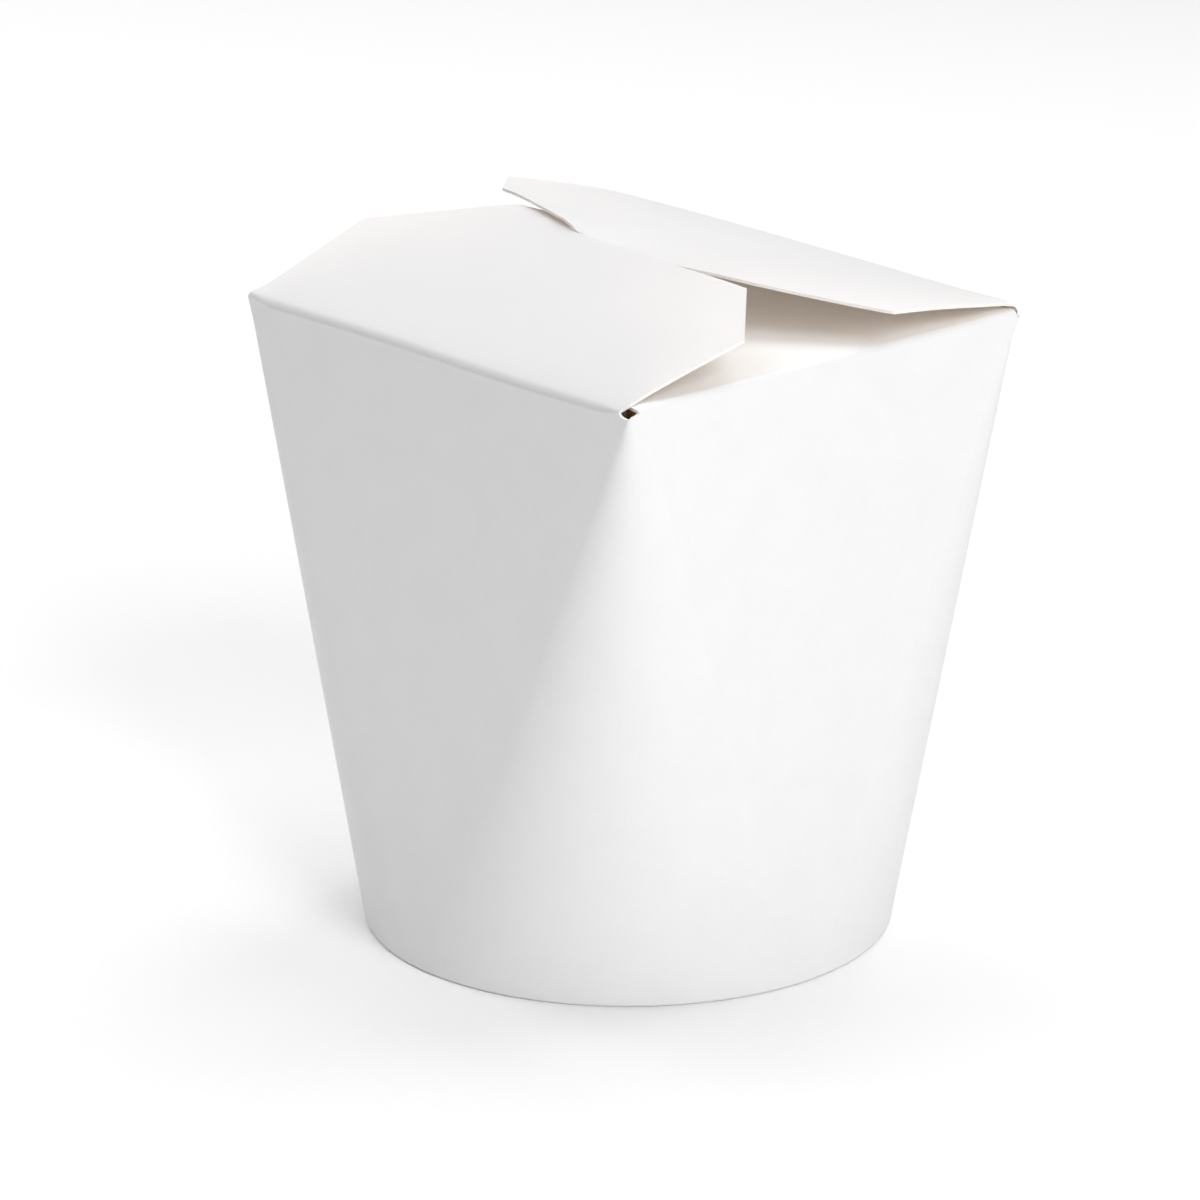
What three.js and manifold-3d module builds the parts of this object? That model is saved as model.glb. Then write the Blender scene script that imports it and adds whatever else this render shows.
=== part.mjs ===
// Noodle takeaway box, shut: a plain white paperboard carton with a round foot and a rectangular top.
// Millimetres, +Z up. The origin is the centre of the foot, on the surface that the box stands on.
// The long top edges run along X. The front flap folds on the edge at -Y, the back flap on the edge at +Y.

import * as THREE from "three";
import { mergeVertices } from "three/addons/utils/BufferGeometryUtils.js";
import Module from "manifold-3d";

// Driving sizes
const footDiameter = 82;
const topLength = 90;
const topWidth = 75;
const rimHeight = 97;
const board = 0.5;

// How far each corner of the folded rim stands above or below rimHeight, as the side flaps meet it
const cornerLift = { frontLeft: -1.4, frontRight: 0, backRight: 1.5, backLeft: 1.3 };
// The back flap folds on a crease set higher than the side flaps' creases, and bows up a little midway
const backCreaseLift = 2.45;
const backCreaseBow = 0.35;

// Lid
const frontSlope = 0.317;
const sideFlapDrop = 2.5;
// Between a side flap and the long walls lies a narrow channel
const channelDepth = 1.2;
const channelFrom = 0.7;
const channelTo = 1.5;
const channelEdge = 1.9;

// Foot: the wrap turned in round a recessed disc
const footWall = 1.3;
const recessDepth = 4.8;
const discGap = 0.3;
const reliefRadius = 1.3;
const reliefDepth = 2.4;

// Mesh steps
const stepsPerQuarter = 20;
const widthSteps = 14;
const flapRows = 10;

const halfLength = topLength / 2;
const halfWidth = topWidth / 2;
const footRadius = footDiameter / 2;

const lerp = THREE.MathUtils.lerp;
const smooth = (t) => THREE.MathUtils.smoothstep(t, 0, 1);
const alongLength = (x) => (x + halfLength) / topLength;
const alongWidth = (y) => (y + halfWidth) / topWidth;

// Heights of the four folded edges
function frontCrease(x) {
  return rimHeight + lerp(cornerLift.frontLeft, cornerLift.frontRight, alongLength(x));
}

function backCrease(x) {
  const bow = backCreaseBow * (1 - (x / halfLength) ** 2);
  return rimHeight + backCreaseLift + Math.max(bow, 0);
}

function sideCrease(y, front, back) {
  return rimHeight + lerp(front, back, alongWidth(y));
}

// Upper surface of the two side flaps, folded in under the long ones
function sideFlapHeight(x, y) {
  const left = sideCrease(y, cornerLift.frontLeft, cornerLift.backLeft);
  const right = sideCrease(y, cornerLift.frontRight, cornerLift.backRight);
  return lerp(left, right, alongLength(x)) - sideFlapDrop * (1 - Math.abs(x) / halfLength);
}

// Front flap: flat, except for its tongue, which bends down beyond the ridge to pass under the back flap
const tongueEnd = { x: -9.6, y: -3.3 };
const tongueRidge = -0.16;
const tongueSlope = -0.1;

function frontFlapHeight(x, y) {
  const ridge = tongueEnd.y + tongueRidge * (x - tongueEnd.x);
  const over = x < tongueEnd.x ? Math.max(y - ridge, 0) : 0;
  const rise = frontSlope * (y - over + halfWidth) + tongueSlope * over;
  return frontCrease(x) + rise;
}

// Back flap: its left half lies high, over the tongue, and its right half dips under the front flap
const back = {
  leftBulge: 0.6,
  bulgeLength: 3,
  leftSlope: [0.25, 0.277],
  leftSlopeRun: 24,
  leftSag: 0.0013,
  rightSlope: 0.19,
  rightSag: [0.001, 0.0017],
  rightSagFrom: 16,
  rightSagRun: 30,
  dipX: -6.5,
  dipHalf: [25, 3],
  reach: 40,
  tongueRidge: -3.6,
  tongueSlope: -0.25,
};

function backFlapHeight(x, y) {
  const over = Math.max(back.tongueRidge - y, 0);
  const v = halfWidth - y - over;
  const leftSlope = lerp(...back.leftSlope, smooth((tongueEnd.x - x) / back.leftSlopeRun));
  const leftBulge = back.leftBulge * (1 - Math.exp(-v / back.bulgeLength));
  const left = leftBulge + leftSlope * v - back.leftSag * v * v;
  const sag = lerp(...back.rightSag, smooth((x - back.rightSagFrom) / back.rightSagRun));
  const right = back.rightSlope * v - sag * v * v;
  const half = lerp(...back.dipHalf, Math.min((v / back.reach) ** 1.5, 1));
  const t = smooth((back.dipX + half - x) / (2 * half));
  return backCrease(x) + lerp(right, left, t) + back.tongueSlope * over;
}

// Outlines of the long flaps seen from above, from the right-hand end of the crease to the left-hand end.
// crease is the place on the crease that a point stands over, and steps the columns up to the next point.
const frontOutline = [
  { x: 46.7, y: -17.9, crease: 44.5, steps: 5 },
  { x: 33.1, y: -5.4, crease: 33, steps: 4 },
  { x: 16.8, y: -5, crease: 17, steps: 3 },
  { x: 3.2, y: -4.2, crease: 4, steps: 4 },
  { x: -8.4, y: -3.5, crease: -8, steps: 1 },
  { x: -9.6, y: -4.4, crease: -9.6, steps: 1 },
  { x: -10.8, y: -2.2, crease: -11, steps: 2 },
  { x: -17.5, y: 1.2, crease: -17.5, steps: 3 },
  { x: -25.3, y: -0.3, crease: -25, steps: 7 },
  { x: -47.5, y: -13.5, crease: -44.5, steps: 0 },
];
const backOutline = [
  { x: 46.6, y: 10.9, crease: 44.5, steps: 5 },
  { x: 26.2, y: 2.2, crease: 27, steps: 4 },
  { x: 13.4, y: -2, crease: 14, steps: 3 },
  { x: 5, y: -5.6, crease: 5, steps: 4 },
  { x: -2.5, y: -6.2, crease: -2.5, steps: 1 },
  { x: -4.4, y: -3.1, crease: -4.4, steps: 1 },
  { x: -8, y: -2.6, crease: -8, steps: 2 },
  { x: -8.8, y: -3.4, crease: -9.4, steps: 3 },
  { x: -32, y: 1.6, crease: -31.5, steps: 7 },
  { x: -46.6, y: 14.6, crease: -44.5, steps: 0 },
];

// Builds a closed mesh from faces given as lists of corner points
class FaceList {
  positions = [];

  triangle(a, b, c) {
    const degenerate = a.equals(b) || b.equals(c) || c.equals(a);
    if (!degenerate) this.positions.push(...a.toArray(), ...b.toArray(), ...c.toArray());
  }

  quad(a, b, c, d) {
    this.triangle(a, b, c);
    this.triangle(a, c, d);
  }

  // Rows of points with the same count, joined into a sheet that faces along (step in row) x (next row)
  sheet(rows, leaveOut = () => false) {
    for (let i = 0; i + 1 < rows.length; i++) {
      for (let j = 0; j + 1 < rows[i].length; j++) {
        if (leaveOut(i, j)) continue;
        this.quad(rows[i][j], rows[i][j + 1], rows[i + 1][j + 1], rows[i + 1][j]);
      }
    }
  }

  geometry() {
    const made = new THREE.BufferGeometry();
    made.setAttribute("position", new THREE.Float32BufferAttribute(this.positions, 3));
    return mergeVertices(made, 1e-4);
  }
}

const point = (x, y, z) => new THREE.Vector3(x, y, z);

// Columns of a long flap, left to right: where each starts on its crease and where it ends on the outline
function flapColumns(outline) {
  const made = [outline[0]];
  outline.slice(1).forEach((end, i) => {
    const start = outline[i];
    for (let k = 1; k <= start.steps; k++) {
      const t = k / start.steps;
      made.push({
        crease: lerp(start.crease, end.crease, t),
        x: lerp(start.x, end.x, t),
        y: lerp(start.y, end.y, t),
      });
    }
  });
  return made.reverse();
}

const frontColumns = flapColumns(frontOutline);
const backColumns = flapColumns(backOutline);

// Rows across the top, front to back: crease, board's inner face, channel, side flaps, and the same again
const insets = [0, board, channelFrom, channelTo];
const between = Array.from({ length: widthSteps + 1 }, (_, i) => i / widthSteps);
const shelfEdge = halfWidth - channelEdge;
const topRows = [
  ...insets.map((inset) => inset - halfWidth),
  ...between.map((t) => lerp(-shelfEdge, shelfEdge, t)),
  ...insets.map((inset) => halfWidth - inset).reverse(),
];

// A point of the top sheet in a column that lies between the ends of the long creases
function shelfPoint(x, y, row) {
  const fromEdge = Math.min(row, topRows.length - 1 - row);
  const crease = y < 0 ? frontCrease(x) : backCrease(x);
  if (fromEdge === 0) return point(x, y, crease);
  if (fromEdge === 1) return point(x, y, crease - board);
  if (fromEdge < insets.length) return point(x, y, Math.min(sideFlapHeight(x, y), crease - channelDepth));
  return point(x, y, sideFlapHeight(x, y));
}

function topSheetRow(y, row) {
  const inner = frontColumns.map((front, i) => {
    return shelfPoint(lerp(front.crease, backColumns[i].crease, alongWidth(y)), y, row);
  });
  const end = (x) => point(x, y, sideFlapHeight(x, y));
  return [end(-halfLength), ...inner, end(halfLength)];
}

function footPoint(angle) {
  return point(footRadius * Math.cos(angle), footRadius * Math.sin(angle), 0);
}

// The wall is ruled: a flat triangle down from each top edge, and a cone from each corner to a quarter foot
function wallStations(topSheet) {
  const edges = [
    topSheet.map((row) => row.at(-1)),
    topSheet.at(-1).toReversed(),
    topSheet.map((row) => row[0]).reverse(),
    topSheet[0],
  ];
  const made = [];
  edges.forEach((edge, side) => {
    const tangent = (side * Math.PI) / 2;
    edge.forEach((top) => made.push({ top, foot: footPoint(tangent) }));
    for (let i = 1; i < stepsPerQuarter; i++) {
      const angle = tangent + ((Math.PI / 2) * i) / stepsPerQuarter;
      made.push({ top: edge.at(-1), foot: footPoint(angle) });
    }
  });
  return made;
}

// A long flap: a bent sheet of board whose upper face grows from the crease and whose lower face grows
// from the board's inner face beside it. crease and inside are those two rows, height the upper face.
function addLongFlap(faces, columns, crease, inside, height) {
  const upper = [crease];
  const lower = [inside];
  for (let row = 1; row <= flapRows; row++) {
    const t = row / flapRows;
    const places = columns.map((c, i) => {
      const x = lerp(crease[i].x, c.x, t);
      const y = lerp(crease[i].y, c.y, t);
      return point(x, y, height(x, y));
    });
    upper.push(places);
    lower.push(places.map((p) => point(p.x, p.y, p.z - board)));
  }
  const towardsBack = crease[0].y < 0;
  const sheets = [
    upper,
    lower.toReversed(),
    [upper.at(-1), lower.at(-1)],
    [upper.map((row) => row[0]), lower.map((row) => row[0])],
    [lower.map((row) => row.at(-1)), upper.map((row) => row.at(-1))],
  ];
  sheets.forEach((rows) => faces.sheet(towardsBack ? rows : rows.toReversed()));
}

// The wrap filled up to its side flaps, with the two long flaps standing over them as sheets of board
function foldedWrap() {
  const faces = new FaceList();
  const topSheet = topRows.map(topSheetRow);
  const wall = wallStations(topSheet);
  const centre = point(0, 0, 0);
  wall.forEach((here, i) => {
    const next = wall[(i + 1) % wall.length];
    faces.quad(here.foot, next.foot, next.top, here.top);
    if (!here.foot.equals(next.foot)) faces.triangle(centre, next.foot, here.foot);
  });
  const lastRow = topSheet.length - 2;
  const lastColumn = frontColumns.length;
  faces.sheet(topSheet, (i, j) => (i === 0 || i === lastRow) && j > 0 && j < lastColumn);
  const inner = (row) => row.slice(1, -1);
  addLongFlap(faces, frontColumns, inner(topSheet[0]), inner(topSheet[1]), frontFlapHeight);
  addLongFlap(faces, backColumns, inner(topSheet.at(-1)), inner(topSheet.at(-2)), backFlapHeight);
  return faces.geometry();
}

// Boolean joins and cuts on closed meshes
const wasm = await Module();
wasm.setup();

function solidFrom(geometry, matrix = new THREE.Matrix4()) {
  const plain = geometry.clone().applyMatrix4(matrix);
  plain.deleteAttribute("normal");
  plain.deleteAttribute("uv");
  const merged = mergeVertices(plain, 1e-4);
  return new wasm.Manifold(
    new wasm.Mesh({
      numProp: 3,
      vertProperties: new Float32Array(merged.attributes.position.array),
      triVerts: new Uint32Array(merged.index.array),
    }),
  );
}

function geometryFrom(solid) {
  const mesh = solid.getMesh();
  const made = new THREE.BufferGeometry();
  made.setAttribute("position", new THREE.BufferAttribute(mesh.vertProperties, mesh.numProp));
  made.setIndex(new THREE.BufferAttribute(mesh.triVerts, 1));
  made.computeVertexNormals();
  return made;
}

// A small round relief hole is punched where the creases meet at each top corner
function reliefHole(signX, signY, lift) {
  const hole = new THREE.CylinderGeometry(reliefRadius, reliefRadius, 2 * reliefDepth, 14);
  const outward = point(signX, signY, 0).normalize();
  const turn = new THREE.Quaternion().setFromUnitVectors(point(0, 1, 0), outward);
  const place = point(signX * halfLength, signY * halfWidth, rimHeight + lift);
  return solidFrom(hole, new THREE.Matrix4().compose(place, turn, point(1, 1, 1)));
}

function cartonGeometry() {
  const recess = new THREE.CylinderGeometry(footRadius - footWall, footRadius - footWall, 2 * recessDepth, 96);
  recess.rotateX(Math.PI / 2);
  return geometryFrom(
    solidFrom(foldedWrap())
      .subtract(solidFrom(recess))
      .subtract(reliefHole(-1, -1, cornerLift.frontLeft))
      .subtract(reliefHole(1, -1, cornerLift.frontRight))
      .subtract(reliefHole(1, 1, cornerLift.backRight))
      .subtract(reliefHole(-1, 1, cornerLift.backLeft)),
  );
}

// The disc that closes the foot, set up inside the turned-in wrap
function baseDiscGeometry() {
  const radius = footRadius - footWall - discGap;
  const top = recessDepth - discGap;
  const edge = board / 4;
  const profile = [
    new THREE.Vector2(0, top - board),
    new THREE.Vector2(radius - edge, top - board),
    new THREE.Vector2(radius, top - board + edge),
    new THREE.Vector2(radius, top - edge),
    new THREE.Vector2(radius - edge, top),
    new THREE.Vector2(0, top),
  ];
  return new THREE.LatheGeometry(profile, 96).rotateX(Math.PI / 2);
}

const whiteBoard = new THREE.MeshStandardMaterial({ color: 0xf4f3f1, roughness: 0.62, metalness: 0 });
const whiteBase = new THREE.MeshStandardMaterial({ color: 0xefedea, roughness: 0.68, metalness: 0 });

function piece(name, geometry, material) {
  const mesh = new THREE.Mesh(geometry, material);
  mesh.name = name;
  return mesh;
}

const box = new THREE.Group();
box.add(piece("carton", cartonGeometry(), whiteBoard));
box.add(piece("base_disc", baseDiscGeometry(), whiteBase));

export default box;
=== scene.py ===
# Noodle takeaway box, shut: one folded white paperboard wrap with a recessed round base, on a pale floor.
import math
from collections import namedtuple

import bmesh
import bpy
from mathutils import Matrix, Vector


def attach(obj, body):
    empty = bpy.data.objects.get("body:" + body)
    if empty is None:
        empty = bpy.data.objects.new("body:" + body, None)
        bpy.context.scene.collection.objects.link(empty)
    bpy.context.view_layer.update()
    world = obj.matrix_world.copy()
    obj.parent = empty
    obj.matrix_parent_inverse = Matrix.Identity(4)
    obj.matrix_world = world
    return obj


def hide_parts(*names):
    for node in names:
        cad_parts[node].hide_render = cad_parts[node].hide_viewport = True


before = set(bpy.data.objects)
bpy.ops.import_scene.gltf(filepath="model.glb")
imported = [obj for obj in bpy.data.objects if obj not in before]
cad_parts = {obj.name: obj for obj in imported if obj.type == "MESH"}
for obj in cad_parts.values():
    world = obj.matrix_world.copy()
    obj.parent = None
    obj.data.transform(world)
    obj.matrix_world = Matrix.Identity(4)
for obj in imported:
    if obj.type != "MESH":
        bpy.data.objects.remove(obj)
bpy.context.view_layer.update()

MM = 0.001

# Sizes in millimetres: those of the solid, and the small lifts, dips and bows that the photo shows
FOOT_RADIUS = 41.0
HALF_LENGTH = 45.0
HALF_WIDTH = 37.5
RIM = 97.0
BOARD = 0.45
CORNER_LIFT = {"front_left": -1.4, "front_right": 0.0, "back_right": 1.75, "back_left": 1.3}
BACK_CREASE_LIFT = 2.45
BACK_CREASE_BOW = 0.35
FRONT_CREASE_DIP = 0.68
DIP_START = -20.0
DIP_RUN = 45.0
DIP_WIDTH = 6.0
SLIT_BOW = 0.25
BOW_CENTRE = (-21.0, -0.8)
BOW_REACH = (12.0, 7.0)
FRONT_SLOPE = 0.317
SIDE_FLAP_DROP = 2.5
SIDE_FLAP_PRESSED = 0.6

# Folds and corners
FRONT_ROLL = 1.5
BACK_ROLL = 1.2
SIDE_ROLL = 1.0
ROLL_RUN = 5.0
ROLL_STEPS = 7
CORNER_STEPS = 16
STRAIGHT_STEPS = 5

# A top corner: how far its relief notch reaches along the long crease and along the short one, the
# notch's depth, the wall's radius in plan, and the radius of the two folds where they end at the notch
Corner = namedtuple("Corner", "long_reach short_reach depth radius long_roll side_roll")
CORNERS = {
    (1, -1): Corner(2.4, 1.7, 0.85, 0.6, 0.5, 0.5),
    (1, 1): Corner(0.62, 0.8, 0.3, 0.4, 1.3, 1.1),
    (-1, 1): Corner(1.2, 1.2, 0.7, 0.6, 0.5, 0.5),
    (-1, -1): Corner(0.62, 1.2, 0.3, 0.4, 0.6, 0.5),
}
NOTCH_SQUARENESS = 3.4

# Where a fold's end stands a little proud of the wall: place, how far it is pulled, and over what distance
PULLS = [
    ((45.0, 37.5, 98.6), (0.46, 0.35, -0.1), 2.6),
    ((41.5, 36.5, 99.0), (0.0, 0.0, 0.28), 4.5),
    ((-45.0, -37.5, 95.6), (-0.3, -0.1, 0.42), 2.6),
]

# Channel between a side flap's cut edge and the wall beside it
CHANNEL_DEPTH = 4.0
CHANNEL_DEPTH_AT_CORNER = 1.5
CHANNEL_RUN = 7.0
POCKET_INSET = 0.5
SIDE_FLAP_STEP_BACK = {-1: 0.7, 1: 0.3}
SIDE_FLAP_TAPER = 1.2
SHEET_SHARE = 0.975

# Wall: how far round the foot each long or short panel spreads, in degrees
PANEL_SPREAD = 4.0

# Mesh steps
COLUMNS = 96
SIDE_ROWS = 60
FLAP_ROWS = 40
ROW_CROWDING = 1.6
WALL_ROWS = 40

# Foot
FOOT_ROUNDING = 0.6
HEM_RADIUS = 39.7
HEM_HEIGHT = 3.4
SLOT_INNER = 40.11
SLOT_OUTER = 40.6
SLOT_FLOOR = 1.2
RECESS_TOP = 5.2

# Base: a disc with a skirt that bends down into the slot
DISC_RINGS = (0.0, 13.0, 26.0)
BASE_UNDER = 4.2
BASE_TOP = 4.65
SKIRT_INNER = 40.15
SKIRT_OUTER = 40.55
SKIRT_FOOT = 1.4
BEND_CENTRE = 39.35
BEND_INNER = 0.8
BEND_OUTER = 1.2

# Material slots of the wrap; the base uses the first two. The channel and pocket slots hold painted shade:
# dark browns standing in for the shade down in the channels and in the notches' pockets. The side flap slot
# holds the side flaps' board painted lighter than the wall's, standing in for the light that reaches them.
WHITE, EDGE, LID, INNER, CHANNEL_PAINTED_SHADE, POCKET_PAINTED_SHADE, SIDE_FLAP_PAINTED_LIGHT = range(7)


def lerp(a, b, t):
    return a + (b - a) * t


def smooth(t):
    t = min(max(t, 0.0), 1.0)
    return t * t * (3 - 2 * t)


# Heights of the folded edges and of the flaps' upper faces
def front_line(x):
    along = (x + HALF_LENGTH) / (2 * HALF_LENGTH)
    return RIM + lerp(CORNER_LIFT["front_left"], CORNER_LIFT["front_right"], along)


def front_dip(x):
    return FRONT_CREASE_DIP * smooth((x - DIP_START) / DIP_RUN)


def front_crease(x):
    return front_line(x) - front_dip(x)


def back_crease(x):
    return RIM + BACK_CREASE_LIFT + max(BACK_CREASE_BOW * (1 - (x / HALF_LENGTH) ** 2), 0)


def side_height(x, y):
    along = (y + HALF_WIDTH) / (2 * HALF_WIDTH)
    left = RIM + lerp(CORNER_LIFT["front_left"], CORNER_LIFT["back_left"], along)
    right = RIM + lerp(CORNER_LIFT["front_right"], CORNER_LIFT["back_right"], along)
    across = (x + HALF_LENGTH) / (2 * HALF_LENGTH)
    pressed = SIDE_FLAP_PRESSED * (1 - smooth((y + HALF_WIDTH) / 4))
    return lerp(left, right, across) - SIDE_FLAP_DROP * (1 - abs(x) / HALF_LENGTH) - pressed


# Past the ridge line from its tongue's end, the front flap droops; its x and y, and the line's slant
TONGUE_END = (-9.6, -3.3)
RIDGE_SLANT = 0.16
FRONT_TONGUE_DROOP = 0.1

# Rise of the back flap over its width: slopes and sags of its right part and its left part
BACK_SLOPE_RIGHT = 0.19
BACK_SAG_RIGHT = (0.001, 0.0017)
BACK_SLOPE_LEFT = (0.2445, 0.277)
BACK_SAG_LEFT = 0.0013
BACK_LIFT_LEFT = 0.6
BACK_TONGUE_START = -3.6
BACK_TONGUE_DROOP = 0.25
CURL_START = (-9.4, -1.5)
CURL_RUN = (1.0, 1.8)
CURL_END = -3.4
LYING_GAP = 0.03

# The front flap's back strip bends down beyond the line between these two points
STRIP_LINE = ((16.8, -4.96), (33.9, -6.47))
STRIP_SLOPE = 0.28
STRIP_BEND = 1.2


def strip_drop(x, y):
    (x0, y0), (x1, y1) = STRIP_LINE
    beyond = max(y - lerp(y0, y1, (x - x0) / (x1 - x0)), 0) * smooth((x - x0 + 3) / 3)
    change = FRONT_SLOPE + STRIP_SLOPE
    if beyond < STRIP_BEND:
        return change * beyond ** 2 / (2 * STRIP_BEND)
    return change * (beyond - STRIP_BEND / 2)


def front_height(x, y):
    ridge = TONGUE_END[1] - RIDGE_SLANT * (x - TONGUE_END[0])
    over = max(y - ridge, 0) if x < TONGUE_END[0] else 0
    v = y - over + HALF_WIDTH
    dip = front_dip(x) * math.exp(-max(v, 0) / DIP_WIDTH)
    return front_line(x) + FRONT_SLOPE * v - FRONT_TONGUE_DROOP * over - dip - strip_drop(x, y)


def back_height(x, y):
    over = max(BACK_TONGUE_START - y, 0)
    v = HALF_WIDTH - y - over
    left_slope = lerp(*BACK_SLOPE_LEFT, smooth((TONGUE_END[0] - x) / 24))
    left = BACK_LIFT_LEFT * (1 - math.exp(-v / 3)) + left_slope * v - BACK_SAG_LEFT * v * v
    sag = lerp(*BACK_SAG_RIGHT, smooth((x - 16) / 30))
    right = BACK_SLOPE_RIGHT * v - sag * v * v
    # The two parts blend over a strip that narrows from the crease to the free edge
    half = lerp(25, 3, min((max(v, 0) / 40) ** 1.5, 1))
    t = smooth((-6.5 + half - x) / (2 * half))
    # Between the tongue's tip and the place where the slits cross, the free edge bows up a little
    along = (x - BOW_CENTRE[0]) / BOW_REACH[0]
    across = (y - BOW_CENTRE[1]) / BOW_REACH[1]
    bow = SLIT_BOW * max(1 - along ** 2, 0) * math.exp(-across ** 2)
    z = back_crease(x) + lerp(right, left, t) - BACK_TONGUE_DROOP * over + bow
    # Where the two slits cross, the sheet curls down to the front flap's edge
    curl = smooth((CURL_START[1] - y) / CURL_RUN[1]) * smooth((x - CURL_START[0]) / CURL_RUN[0])
    lying = front_height(x, min(y, CURL_END)) + LYING_GAP
    return z - curl * max(z - lying, 0)


# Outlines of the long flaps from the right-hand end of the crease to the left-hand end:
# x, y, the place on the crease below it, and the radius that the corner is rounded to
FRONT_OUTLINE = [
    (45.3, -16.6, 44.2, 0.35),
    (32.9, -5.3, 33, 0.5),
    (24.5, -5.1, 24.5, 3),
    (16.8, -4.95, 17, 3),
    (3.2, -4.2, 4, 3),
    (-7.9, -3.54, -8, 0.3),
    (-9.6, -3.4, -9.5, 0.2),
    (-10.9, -2.3, -11, 0.4),
    (-16.2, 2.1, -16.5, 2),
    (-25.3, -0.3, -25, 1.2),
    (-47.5, -13.5, -44.2, 0.5),
]
BACK_OUTLINE = [
    (46.6, 10.9, 44.2, 0.4),
    (26.2, 2.2, 27, 5),
    (13.4, -2, 14, 4),
    (5, -5.6, 5, 2),
    (-3.6, -6.2, -3.4, 0.6),
    (-4.4, -3.5, -4.4, 0.1),
    (-7.8, -3.36, -7.8, 0.3),
    (-9.0, -3.4, -9.4, 0.12),
    (-32, 1.6, -31.5, 1.1),
    (-46.6, 14.6, -44.2, 1.1),
]


def rounded(points, radii, steps=5):
    """The open polyline with each inner corner rounded: pairs of a point and the corner it is at."""
    made = []
    for i in range(1, len(points) - 1):
        before, here, after = (Vector(points[k]) for k in (i - 1, i, i + 1))
        a = (before - here).normalized()
        b = (after - here).normalized()
        half = a.angle(b) / 2
        reach = radii[i] / math.tan(half)
        limit = 0.45 * min((before - here).length, (after - here).length)
        reach = min(reach, limit)
        for k in range(steps + 1):
            t = k / steps
            start, end = here + a * reach, here + b * reach
            made.append((start * (1 - t) ** 2 + here * 2 * t * (1 - t) + end * t * t, i))
    return made


def crease_end(x_sign, y_sign):
    """Where a long crease stops, at the notch."""
    return x_sign * (HALF_LENGTH - CORNERS[x_sign, y_sign].long_reach)


def side_end(x_sign, y_sign):
    """Where a short crease stops, at the notch."""
    return y_sign * (HALF_WIDTH - CORNERS[x_sign, y_sign].short_reach)


def flap_columns(outline, side):
    """Columns of a flap, left to right: (place on the crease, x and y on the outline)."""
    right_end, left_end = crease_end(1, side), crease_end(-1, side)
    side_y = side * HALF_WIDTH
    points = [(right_end, side_y), *((x, y) for x, y, _, _ in outline), (left_end, side_y)]
    radii = [0, *(r for _, _, _, r in outline), 0]
    corners = rounded(points, radii)
    path = [p for p, _ in corners]
    length = [0.0]
    for a, b in zip(path, path[1:]):
        length.append(length[-1] + (b - a).length)
    keys = []
    for i in range(1, len(points) - 1):
        here = [length[k] for k, (_, at) in enumerate(corners) if at == i]
        keys.append((sum(here) / len(here), outline[i - 1][2]))
    keys[0] = (0.0, right_end)
    keys[-1] = (length[-1], left_end)

    def crease(s):
        for (s0, c0), (s1, c1) in zip(keys, keys[1:]):
            if s <= s1:
                return lerp(c0, c1, (s - s0) / (s1 - s0))
        return keys[-1][1]

    made = list(zip(length, path))
    while len(made) <= COLUMNS:
        k = max(range(len(made) - 1), key=lambda i: made[i + 1][0] - made[i][0])
        (s0, p0), (s1, p1) = made[k], made[k + 1]
        made.insert(k + 1, ((s0 + s1) / 2, (p0 + p1) / 2))
    return [(crease(s), p.x, p.y) for s, p in reversed(made)]


def fold(crease, down, inward, radius):
    """A rolled fold between a wall that goes down from the crease and a flap that goes inward from it.
    Returns the points of its outer face and of its inner face, from the wall to the flap."""
    down = down.normalized()
    inward = inward.normalized()
    half = down.angle(inward) / 2
    reach = radius / math.tan(half)
    centre = crease + (down + inward).normalized() * (radius / math.sin(half))
    a = crease + down * reach - centre
    b = crease + inward * reach - centre
    spokes = [a.slerp(b, k / ROLL_STEPS).normalized() * radius for k in range(ROLL_STEPS + 1)]
    shrink = max(radius - BOARD, 0.06) / radius
    return [centre + s for s in spokes], [centre + s * shrink for s in spokes]


def roll(radius, ends):
    """A fold's radius at a place, from its full radius and, for each end, (distance, radius there)."""
    distance, at_end = min(ends)
    return lerp(at_end, radius, smooth(distance / ROLL_RUN))


def pulled(p):
    moved = p.copy()
    for place, pull, reach in PULLS:
        moved += Vector(pull) * math.exp(-((p - Vector(place)).length / reach) ** 2)
    return moved


class Shell:
    """Patches of one closed mesh, stitched where their points coincide."""

    def __init__(self):
        self.bm = bmesh.new()
        self.found = {}

    def vertex(self, p):
        key = (round(p[0], 5), round(p[1], 5), round(p[2], 5))
        if key not in self.found:
            self.found[key] = self.bm.verts.new(pulled(Vector(p)) * MM)
        return self.found[key]

    def face(self, points, material):
        verts = []
        for p in points:
            v = self.vertex(p)
            if v not in verts:
                verts.append(v)
        if len(verts) > 2 and not self.bm.faces.get(verts):
            self.bm.faces.new(verts).material_index = material

    def sheet(self, rows, material, closed=False):
        for low, high in zip(rows, rows[1:]):
            count = len(low) if closed else len(low) - 1
            for j in range(count):
                k = (j + 1) % len(low)
                self.face((low[j], low[k], high[k], high[j]), material)

    def mesh(self, name):
        bmesh.ops.recalc_face_normals(self.bm, faces=self.bm.faces)
        made = bpy.data.meshes.new(name)
        self.bm.to_mesh(made)
        self.bm.free()
        return made


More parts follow.
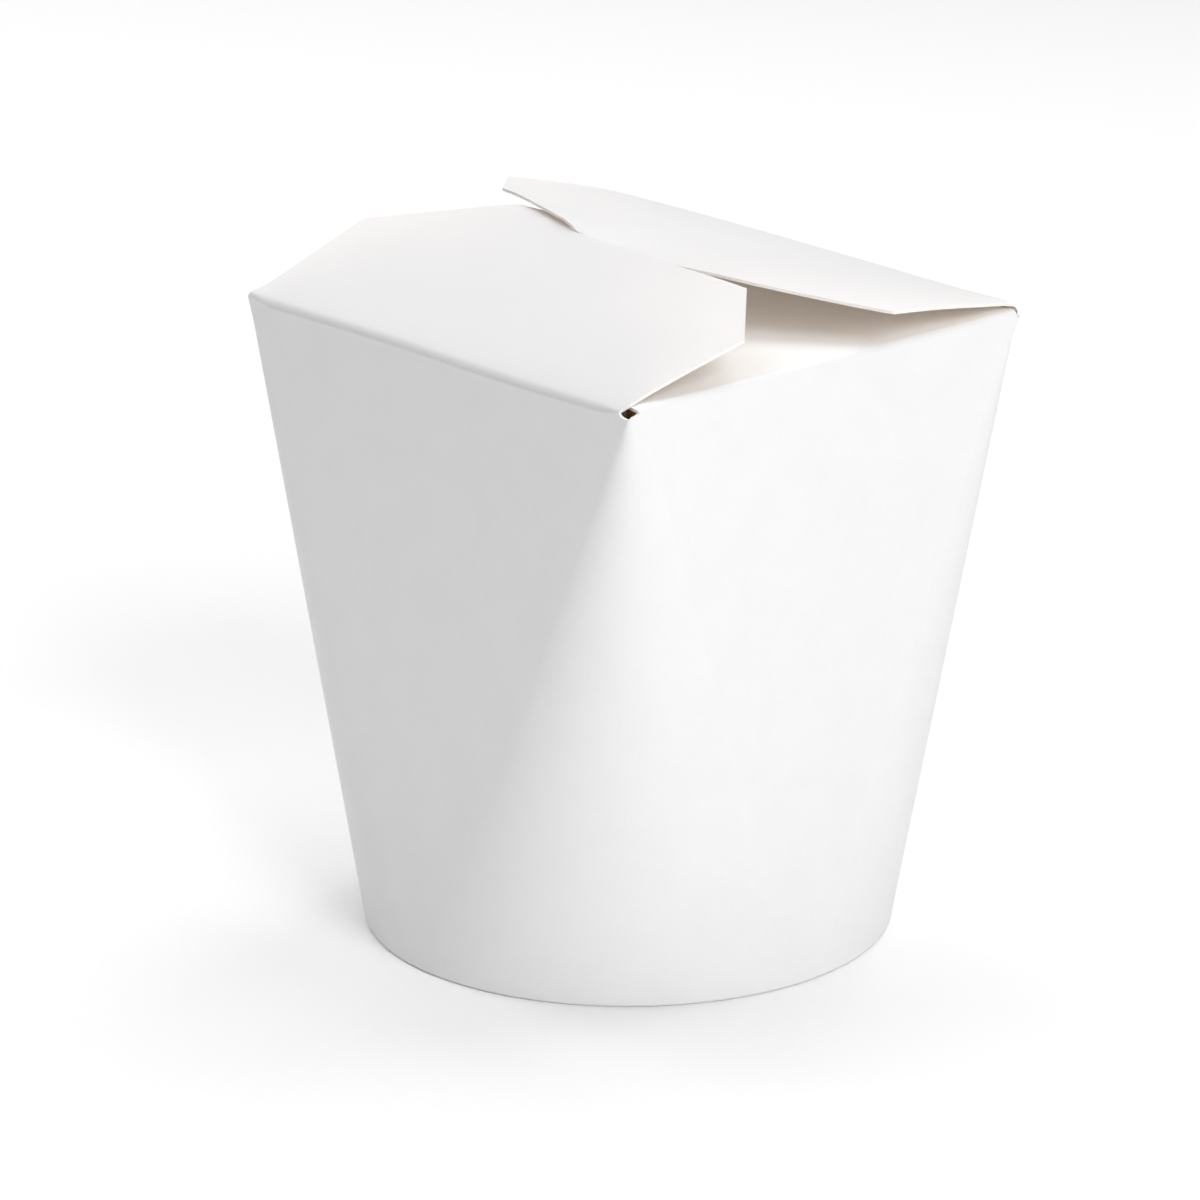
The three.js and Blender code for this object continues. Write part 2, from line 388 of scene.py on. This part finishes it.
def long_flap(shell, columns, side, crease, height, radius):
    """Adds a long flap with its fold. side is -1 for the front and 1 for the back.
    Returns the wall's top points, the inner face's points at the fold's foot, and the channel's
    outer points."""
    y0 = side * HALF_WIDTH
    probe = 0.4
    outer_rows = []
    inner_rows = []
    for c, x_end, y_end in columns:
        top = Vector((c, y0, crease(c)))
        down = Vector((0, side * (FOOT_RADIUS - HALF_WIDTH), -top.z))
        rise = (height(c, y0 - side * probe) - height(c, y0)) / probe
        inward = Vector((0, -side, rise))
        ends = [(abs(crease_end(s, side) - c), CORNERS[s, side].long_roll) for s in (-1, 1)]
        outer, inner = fold(top, down, inward, roll(radius, ends))
        start = outer[-1]
        under = inner[-1]
        for k in range(1, FLAP_ROWS + 1):
            t = 1 - (1 - k / FLAP_ROWS) ** ROW_CROWDING
            x, y = lerp(start.x, x_end, t), lerp(start.y, y_end, t)
            z = height(x, y)
            outer.append(Vector((x, y, z)))
            inner.append(Vector((x, lerp(under.y - start.y, 0, min(4 * t, 1)) + y, z - BOARD)))
        outer_rows.append(outer)
        inner_rows.append(inner)
    shell.sheet(outer_rows, LID)
    shell.sheet([row[::-1] for row in inner_rows], INNER)
    shell.sheet([[row[-1] for row in outer_rows], [row[-1] for row in inner_rows]], EDGE)
    for i in (0, -1):
        shell.sheet([outer_rows[i], inner_rows[i]], EDGE)
    channel = []
    for row in inner_rows:
        foot = row[0].copy()
        from_end = min(crease_end(1, side) - foot.x, foot.x - crease_end(-1, side))
        run = smooth(from_end / CHANNEL_RUN)
        foot.z -= lerp(CHANNEL_DEPTH_AT_CORNER, CHANNEL_DEPTH, run)
        channel.append(foot)
    # The channel's wall is coloured with painted shade
    shell.sheet([[row[0] for row in inner_rows], channel], CHANNEL_PAINTED_SHADE)
    return [row[0] for row in outer_rows], [row[0] for row in inner_rows], channel


def side_fold(y, side):
    """A side flap's fold at y: its outer and inner points, from the wall to the flap."""
    x0 = side * HALF_LENGTH
    top = Vector((x0, y, side_height(x0, y)))
    down = Vector((side * (FOOT_RADIUS - HALF_LENGTH), 0, -top.z))
    inward = Vector((-side, 0, -SIDE_FLAP_DROP / HALF_LENGTH))
    ends = [(abs(side_end(side, s) - y), CORNERS[side, s].side_roll) for s in (-1, 1)]
    return fold(top, down, inward, roll(SIDE_ROLL, ends))


def panel_foot(across, half, radius):
    """Unit vector, across and out, to the foot's point below a place on a panel that is 2 * half wide
    and whose corner has this radius in plan."""
    a = math.radians(PANEL_SPREAD * across / (half - radius))
    return math.sin(a), math.cos(a)


def corner_path(x_sign, y_sign):
    """Plan places round a top corner, from its long crease to its short one. Each is (place, place at the
    board's inner face, place in the pocket, unit vector to its foot, share of the notch's depth)."""
    corner = CORNERS[x_sign, y_sign]
    centre_x = HALF_LENGTH - corner.radius
    centre_y = HALF_WIDTH - corner.radius
    local = []
    start = HALF_LENGTH - corner.long_reach
    if start < centre_x:
        for k in range(STRAIGHT_STEPS):
            x = lerp(start, centre_x, k / STRAIGHT_STEPS)
            local.append((x, HALF_WIDTH, 90, panel_foot(x, HALF_LENGTH, corner.radius)))
    for k in range(CORNER_STEPS + 1):
        t = k / CORNER_STEPS
        a = math.radians(90 - 90 * t)
        foot = math.radians(lerp(90 - PANEL_SPREAD, PANEL_SPREAD, t))
        x = centre_x + corner.radius * math.cos(a)
        y = centre_y + corner.radius * math.sin(a)
        local.append((x, y, 90 - 90 * t, (math.cos(foot), math.sin(foot))))
    for k in range(1, STRAIGHT_STEPS + 1):
        y = lerp(centre_y, HALF_WIDTH - corner.short_reach, k / STRAIGHT_STEPS)
        out = panel_foot(y, HALF_WIDTH, corner.radius)
        local.append((HALF_LENGTH, y, 0, (out[1], out[0])))

    def inset(x, y, angle, depth):
        radius = max(corner.radius - depth, 0.04)
        far_x, far_y = HALF_LENGTH - depth - radius, HALF_WIDTH - depth - radius
        if angle == 90:
            place = min(x, far_x), far_y + radius
        elif angle == 0:
            place = far_x + radius, min(y, far_y)
        else:
            a = math.radians(angle)
            place = far_x + radius * math.cos(a), far_y + radius * math.sin(a)
        return x_sign * place[0], y_sign * place[1]

    made = []
    for x, y, angle, foot in local:
        along = (HALF_LENGTH - x) / corner.long_reach
        across = (HALF_WIDTH - y) / corner.short_reach
        away = along ** NOTCH_SQUARENESS + across ** NOTCH_SQUARENESS
        made.append((
            (x_sign * x, y_sign * y),
            inset(x, y, angle, BOARD),
            inset(x, y, angle, POCKET_INSET),
            (x_sign * foot[0], y_sign * foot[1]),
            max(1 - away, 0) ** (1 / NOTCH_SQUARENESS),
        ))
    return made


def notched_corner(shell, signs, creases, long_end, inner, channel, side_ends, side_row, low):
    """Closes a corner with its notch: a cut rim, a pocket behind it coloured with painted dark shade, and
    the side flap's cut end.
    Returns the wall's stations from the long crease to the short one."""
    path = corner_path(*signs)
    depth = CORNERS[signs].depth
    chain, under = side_ends
    drops = creases[0] - long_end.z, creases[1] - chain[0].z
    top, rim, floor = [], [], []
    for k, (place, inner_place, pocket_place, _, share) in enumerate(path):
        t = smooth(k / (len(path) - 1))
        z = lerp(*creases, t) - max(lerp(*drops, t), depth * share)
        top.append(Vector((*place, z)))
        rim.append(Vector((*inner_place, z)))
        floor.append(Vector((*pocket_place, channel.z)))
    top[0], rim[0], floor[0] = long_end, inner, channel
    top[-1] = chain[0]
    shell.sheet([top, rim], EDGE)
    # The pocket's walls, floor and end are coloured with painted dark shade
    shell.sheet([rim, floor], POCKET_PAINTED_SHADE)
    for a, b in zip(floor, floor[1:]):
        shell.face((low, a, b), POCKET_PAINTED_SHADE)
    under = [rim[-1], *under[1:], side_row - Vector((0, 0, BOARD))]
    shell.sheet([[*chain, side_row], under], EDGE)
    end = [floor[-1], *under]
    for a, b in zip(end, end[1:]):
        shell.face((low, a, b), POCKET_PAINTED_SHADE)
    return [(p, foot) for p, (_, _, _, foot, _) in zip(top, path)]


def wrap_mesh():
    shell = Shell()
    front_columns = flap_columns(FRONT_OUTLINE, -1)
    back_columns = flap_columns(BACK_OUTLINE, 1)
    front_top, front_inner, front_channel = long_flap(
        shell, front_columns, -1, front_crease, front_height, FRONT_ROLL)
    back_top, back_inner, back_channel = long_flap(
        shell, back_columns, 1, back_crease, back_height, BACK_ROLL)

    # Side flaps: one sheet from fold to fold, between two channels
    def flap_edge(x, y_sign):
        from_end = HALF_LENGTH - abs(x)
        end = lerp(side_end(-1, y_sign), side_end(1, y_sign), (x + HALF_LENGTH) / (2 * HALF_LENGTH))
        step = SIDE_FLAP_STEP_BACK[y_sign] * smooth(from_end / ROLL_RUN)
        return end - y_sign * (step + SIDE_FLAP_TAPER * from_end / HALF_LENGTH)

    rows = []
    for i in range(SIDE_ROWS + 1):
        t = i / SIDE_ROWS
        row = []
        for front, back in zip(front_columns, back_columns):
            x = lerp(front[0], back[0], t) * SHEET_SHARE
            y = lerp(flap_edge(x, -1), flap_edge(x, 1), t)
            row.append(Vector((x, y, side_height(x, y))))
        rows.append(row)
    folds = {}
    for side in (-1, 1):
        ends = side_end(side, -1), side_end(side, 1)
        folds[side] = [side_fold(lerp(*ends, i / SIDE_ROWS), side) for i in range(SIDE_ROWS + 1)]
        shell.sheet([outer for outer, _ in folds[side]], WHITE)
    # The side flaps' sheet is coloured with painted light, lighter than the wall
    shell.sheet([[folds[-1][i][0][-1], *row, folds[1][i][0][-1]] for i, row in enumerate(rows)], SIDE_FLAP_PAINTED_LIGHT)

    def below(row, channel):
        return [Vector((p.x, p.y, c.z)) for p, c in zip(row, channel)]

    front_low = below(rows[0], front_channel)
    back_low = below(rows[-1], back_channel)
    for channel, low, row in ((front_channel, front_low, rows[0]), (back_channel, back_low, rows[-1])):
        cut = [p - Vector((0, 0, BOARD)) for p in row]
        # The channel's floor and far wall are coloured with painted shade
        shell.sheet([channel, low, cut], CHANNEL_PAINTED_SHADE)
        shell.sheet([cut, row], EDGE)

    corners = {}
    for x_sign, y_sign in CORNERS:
        at = -1 if x_sign > 0 else 0
        end = 0 if y_sign < 0 else -1
        top, inner, channel, low = (
            (front_top, front_inner, front_channel, front_low) if y_sign < 0
            else (back_top, back_inner, back_channel, back_low))
        side_ends = folds[x_sign][end]
        long_crease = (front_crease if y_sign < 0 else back_crease)(top[at].x)
        creases = long_crease, side_height(x_sign * HALF_LENGTH, side_ends[0][0].y)
        corners[x_sign, y_sign] = notched_corner(
            shell, (x_sign, y_sign), creases, top[at], inner[at], channel[at], side_ends,
            rows[end][at], low[at])

    # Wall: each station joins a point of the top to one of the foot
    def long_panel(points, y_sign):
        made = []
        for p in points:
            radius = CORNERS[1 if p.x > 0 else -1, y_sign].radius
            across, out = panel_foot(p.x, HALF_LENGTH, radius)
            made.append((p, (across, y_sign * out)))
        return made

    def short_panel(chains, x_sign):
        made = []
        for p in (outer[0] for outer, _ in chains):
            radius = CORNERS[x_sign, 1 if p.y > 0 else -1].radius
            across, out = panel_foot(p.y, HALF_WIDTH, radius)
            made.append((p, (x_sign * out, across)))
        return made

    stations = []
    for part in (
        long_panel(front_top, -1), corners[1, -1],
        short_panel(folds[1], 1), corners[1, 1][::-1],
        long_panel(back_top[::-1], 1), corners[-1, 1],
        short_panel(folds[-1][::-1], -1), corners[-1, -1][::-1],
    ):
        for point, foot in part:
            if not stations or (stations[-1][0] - point).length > 1e-4:
                stations.append((point, foot))
    if (stations[-1][0] - stations[0][0]).length < 1e-4:
        stations.pop()

    def ring_at(radius, z):
        return [Vector((radius * x, radius * y, z)) for _, (x, y) in stations]

    tops = [p for p, _ in stations]
    feet = ring_at(FOOT_RADIUS, FOOT_ROUNDING)
    shell.sheet([[top.lerp(foot, (i / WALL_ROWS) ** ROW_CROWDING) for top, foot in zip(tops, feet)]
                 for i in range(WALL_ROWS + 1)], WHITE, closed=True)

    # Foot: rounded outside edge, turned-in hem, slot for the base's skirt, and the recess behind it
    def quarter(centre_radius, from_angle, to_angle):
        angles = [math.radians(lerp(from_angle, to_angle, k / 4)) for k in range(5)]
        return [(centre_radius + FOOT_ROUNDING * math.cos(a), FOOT_ROUNDING * (1 + math.sin(a)))
                for a in angles]

    outside = quarter(FOOT_RADIUS - FOOT_ROUNDING, 0, -90)
    inside = quarter(HEM_RADIUS + FOOT_ROUNDING, -90, -180)
    shell.sheet([ring_at(r, z) for r, z in outside + inside], WHITE, closed=True)
    hem = [inside[-1], (HEM_RADIUS, HEM_HEIGHT / 2), (HEM_RADIUS, HEM_HEIGHT)]
    shell.sheet([ring_at(r, z) for r, z in hem], WHITE, closed=True)
    shell.sheet([ring_at(r, HEM_HEIGHT) for r in (HEM_RADIUS, SLOT_INNER)], EDGE, closed=True)
    slot = [
        (SLOT_INNER, HEM_HEIGHT), (SLOT_INNER, SLOT_FLOOR),
        (SLOT_OUTER, SLOT_FLOOR), (SLOT_OUTER, RECESS_TOP)]
    shell.sheet([ring_at(r, z) for r, z in slot], INNER, closed=True)
    shell.sheet([ring_at(r, RECESS_TOP) for r in (SLOT_OUTER, 30, 15)], INNER, closed=True)
    last = ring_at(15, RECESS_TOP)
    centre = Vector((0, 0, RECESS_TOP))
    for a, b in zip(last, last[1:] + last[:1]):
        shell.face((a, b, centre), INNER)
    return shell.mesh("folded_wrap")


def base_mesh():
    """The base: a disc whose rim bends down as a skirt into the slot behind the hem."""
    steps = 6
    spokes = 144

    def bend(radius, level, from_angle, to_angle):
        angles = [math.radians(lerp(from_angle, to_angle, k / steps)) for k in range(steps + 1)]
        return [(BEND_CENTRE + radius * math.cos(a), level - radius + radius * math.sin(a)) for a in angles]

    raw_edge = (SKIRT_INNER, SKIRT_FOOT), (SKIRT_OUTER, SKIRT_FOOT)
    profile = [
        *((r, BASE_UNDER) for r in DISC_RINGS),
        *bend(BEND_INNER, BASE_UNDER, 90, 0),
        *raw_edge,
        *bend(BEND_OUTER, BASE_TOP, 0, 90),
        *((r, BASE_TOP) for r in reversed(DISC_RINGS)),
    ]
    shell = Shell()
    angles = [math.radians(360 * k / spokes) for k in range(spokes)]
    rings = [[Vector((r * math.cos(a), r * math.sin(a), z)) for a in angles] for r, z in profile]
    for i in range(len(rings) - 1):
        material = EDGE if profile[i] == raw_edge[0] else WHITE
        shell.sheet(rings[i:i + 2], material, closed=True)
    return shell.mesh("base")


# Materials
def node(tree, kind, **inputs):
    made = tree.nodes.new(kind)
    for name, value in inputs.items():
        made.inputs[name.replace("_", " ")].default_value = value
    return made


def board_material(name, dark, light, roughness, bump, passes=0.0, passed=(1, 1, 1)):
    """Paperboard: faint cloudy tone, fine fibres in colour, roughness and height. A thin sheet's face lets
    a share of the light through, scattered: passes is that share and passed its colour."""
    mat = bpy.data.materials.new(name)
    mat.use_nodes = True
    tree = mat.node_tree
    link = tree.links.new
    shader = tree.nodes["Principled BSDF"]
    coords = tree.nodes.new("ShaderNodeTexCoord")
    cloud = node(tree, "ShaderNodeTexNoise", Scale=130.0, Detail=4.0, Roughness=0.55)
    stretch = tree.nodes.new("ShaderNodeMapping")
    stretch.inputs["Scale"].default_value = (1.0, 1.0, 0.32)
    stretch.inputs["Rotation"].default_value = (0.35, 0.2, 0.5)
    fibre = node(tree, "ShaderNodeTexNoise", Scale=2600.0, Detail=5.0, Roughness=0.62, Distortion=0.6)
    grain = node(tree, "ShaderNodeTexNoise", Scale=900.0, Detail=3.0, Roughness=0.5)
    link(coords.outputs["Object"], cloud.inputs["Vector"])
    link(coords.outputs["Object"], stretch.inputs["Vector"])
    link(stretch.outputs["Vector"], fibre.inputs["Vector"])
    link(coords.outputs["Object"], grain.inputs["Vector"])
    blend = tree.nodes.new("ShaderNodeMix")
    blend.data_type = "FLOAT"
    blend.inputs["Factor"].default_value = 0.45
    link(cloud.outputs["Fac"], blend.inputs[2])
    link(fibre.outputs["Fac"], blend.inputs[3])
    ramp = tree.nodes.new("ShaderNodeValToRGB")
    ramp.color_ramp.elements[0].position = 0.3
    ramp.color_ramp.elements[0].color = (*dark, 1)
    ramp.color_ramp.elements[1].position = 0.62
    ramp.color_ramp.elements[1].color = (*light, 1)
    link(blend.outputs[0], ramp.inputs["Fac"])
    link(ramp.outputs["Color"], shader.inputs["Base Color"])
    rough = tree.nodes.new("ShaderNodeMapRange")
    rough.inputs["From Min"].default_value = 0.3
    rough.inputs["From Max"].default_value = 0.7
    rough.inputs["To Min"].default_value = roughness - 0.05
    rough.inputs["To Max"].default_value = roughness + 0.07
    link(grain.outputs["Fac"], rough.inputs["Value"])
    link(rough.outputs["Result"], shader.inputs["Roughness"])
    height = tree.nodes.new("ShaderNodeMath")
    height.operation = "ADD"
    link(fibre.outputs["Fac"], height.inputs[0])
    link(grain.outputs["Fac"], height.inputs[1])
    relief = node(tree, "ShaderNodeBump", Strength=bump, Distance=0.00004)
    link(height.outputs[0], relief.inputs["Height"])
    link(relief.outputs["Normal"], shader.inputs["Normal"])
    shader.inputs["Specular IOR Level"].default_value = 0.35
    if passes:
        through = tree.nodes.new("ShaderNodeBsdfTranslucent")
        through.inputs["Color"].default_value = (*passed, 1)
        both = tree.nodes.new("ShaderNodeMixShader")
        both.inputs["Fac"].default_value = passes
        link(shader.outputs["BSDF"], both.inputs[1])
        link(through.outputs["BSDF"], both.inputs[2])
        link(both.outputs["Shader"], tree.nodes["Material Output"].inputs["Surface"])
    return mat


white = board_material("white_paperboard", (0.815, 0.815, 0.815), (0.84, 0.84, 0.84), 0.55, 0.12)
lid = board_material("lid_paperboard", (0.938, 0.954, 0.982), (0.958, 0.974, 1.0), 0.55, 0.12, passes=0.34)
# Painted light: the same board as the wall's, coloured lighter to stand in for the light that reaches the
# side flaps
side_flap_painted_light = board_material("side_flap_board_painted_lighter", (0.90, 0.90, 0.895), (0.925, 0.925, 0.92), 0.55, 0.12)
edge = board_material("cut_board_edge", (0.86, 0.84, 0.81), (0.92, 0.905, 0.88), 0.8, 0.5)
inner_face = board_material(
    "inner_board_face", (0.92, 0.86, 0.79), (0.95, 0.90, 0.84), 0.7, 0.2,
    passes=0.34, passed=(0.93, 0.77, 0.64))
# Painted shade: a mid brown standing in for the shade down in the channels beside the side flaps, not the
# board's own colour
channel_painted_shade = board_material("channel_painted_shade", (0.30, 0.22, 0.15), (0.36, 0.27, 0.19), 0.9, 0.3)
# Painted shade: a dark brown standing in for the unlit inside seen through a corner's notch, not the
# board's own colour
pocket_painted_shade = board_material("pocket_painted_shade", (0.20, 0.095, 0.036), (0.24, 0.12, 0.048), 0.9, 0.3)
base_white = board_material("base_paperboard", (0.77, 0.77, 0.765), (0.83, 0.83, 0.825), 0.62, 0.2)


def piece(mesh, name, materials):
    made = bpy.data.objects.new(name, mesh)
    bpy.context.scene.collection.objects.link(made)
    for mat in materials:
        mesh.materials.append(mat)
    return made


def finish_shading(mesh, degrees=38):
    for poly in mesh.polygons:
        poly.use_smooth = True
    mesh.set_sharp_from_angle(angle=math.radians(degrees))


wrap = piece(wrap_mesh(), "folded_wrap", (
    white, edge, lid, inner_face, channel_painted_shade, pocket_painted_shade, side_flap_painted_light))
finish_shading(wrap.data)
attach(wrap, "root")
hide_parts("carton")

base = piece(base_mesh(), "base_board", (base_white, edge))
finish_shading(base.data)
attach(base, "root")
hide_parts("base_disc")

# Floor
floor_mesh = bpy.data.meshes.new("floor")
half_floor = 6.0
floor_corners = [(half_floor * x, half_floor * y, 0) for x, y in ((-1, -1), (1, -1), (1, 1), (-1, 1))]
floor_mesh.from_pydata(floor_corners, [], [(0, 1, 2, 3)])
floor = bpy.data.objects.new("floor", floor_mesh)
floor.location.z = -0.00002
bpy.context.scene.collection.objects.link(floor)
floor_mat = bpy.data.materials.new("floor")
floor_mat.use_nodes = True
floor_shader = floor_mat.node_tree.nodes["Principled BSDF"]
floor_shader.inputs["Base Color"].default_value = (0.95, 0.95, 0.95, 1)
floor_shader.inputs["Roughness"].default_value = 0.9
floor_shader.inputs["Specular IOR Level"].default_value = 0.1
floor_mesh.materials.append(floor_mat)

# Light
scene = bpy.context.scene
scene.view_settings.view_transform = "Standard"
world = bpy.data.worlds.new("studio")
world.use_nodes = True
world.node_tree.nodes["Background"].inputs["Color"].default_value = (1, 1, 1, 1)
world.node_tree.nodes["Background"].inputs["Strength"].default_value = 0.005
scene.world = world
AIM_HEIGHT = 0.06


def area_light(name, azimuth, elevation, distance, size, power):
    """A square soft light. Azimuth 0 is the -Y side and 90 the +X side."""
    az, el = math.radians(azimuth), math.radians(elevation)
    away = Vector((math.sin(az) * math.cos(el), -math.cos(az) * math.cos(el), math.sin(el)))
    data = bpy.data.lights.new(name, "AREA")
    data.shape = "SQUARE"
    data.size = size
    data.energy = power
    made = bpy.data.objects.new(name, data)
    made.location = Vector((0, 0, AIM_HEIGHT)) + away * distance
    made.rotation_euler = away.to_track_quat("Z", "Y").to_euler()
    scene.collection.objects.link(made)


area_light("key", 80, 35, 1.2, 0.5, 6.2)
area_light("front_low", 60, 20, 1.2, 0.5, 3.4)
area_light("right_low", 120, 20, 1.2, 1.0, 0.8)
area_light("left", -90, 30, 1.2, 1.0, 4.0)
area_light("left_high", -60, 60, 1.2, 1.0, 5.5)
area_light("behind_high", 180, 60, 1.2, 1.0, 8.2)
area_light("behind_low", -130, 25, 3.0, 2.5, 13.9)

# Camera
AZIMUTH = math.radians(49.99)
ELEVATION = math.radians(18.15)
DISTANCE = 0.8
TARGET_HEIGHT = 0.0485
# The picture's width in pixels, and how far its middle lies from the target there
PICTURE = 1200
MIDDLE = (-28.13, 10.54)
level = math.cos(ELEVATION)
back = Vector((math.sin(AZIMUTH) * level, -math.cos(AZIMUTH) * level, math.sin(ELEVATION)))
right = Vector((math.cos(AZIMUTH), math.sin(AZIMUTH), 0))
up = back.cross(right)
camera_data = bpy.data.cameras.new("camera")
camera_data.sensor_width = 36
camera_data.lens = 157.2
camera_data.shift_x = MIDDLE[0] / PICTURE
camera_data.shift_y = MIDDLE[1] / PICTURE
camera_data.clip_start = 0.01
camera_data.clip_end = 50
camera = bpy.data.objects.new("camera", camera_data)
place = Vector((0, 0, TARGET_HEIGHT)) + back * DISTANCE
camera.matrix_world = Matrix((
    (right.x, up.x, back.x, place.x),
    (right.y, up.y, back.y, place.y),
    (right.z, up.z, back.z, place.z),
    (0, 0, 0, 1)))
scene.collection.objects.link(camera)
scene.camera = camera

bpy.context.view_layer.update()
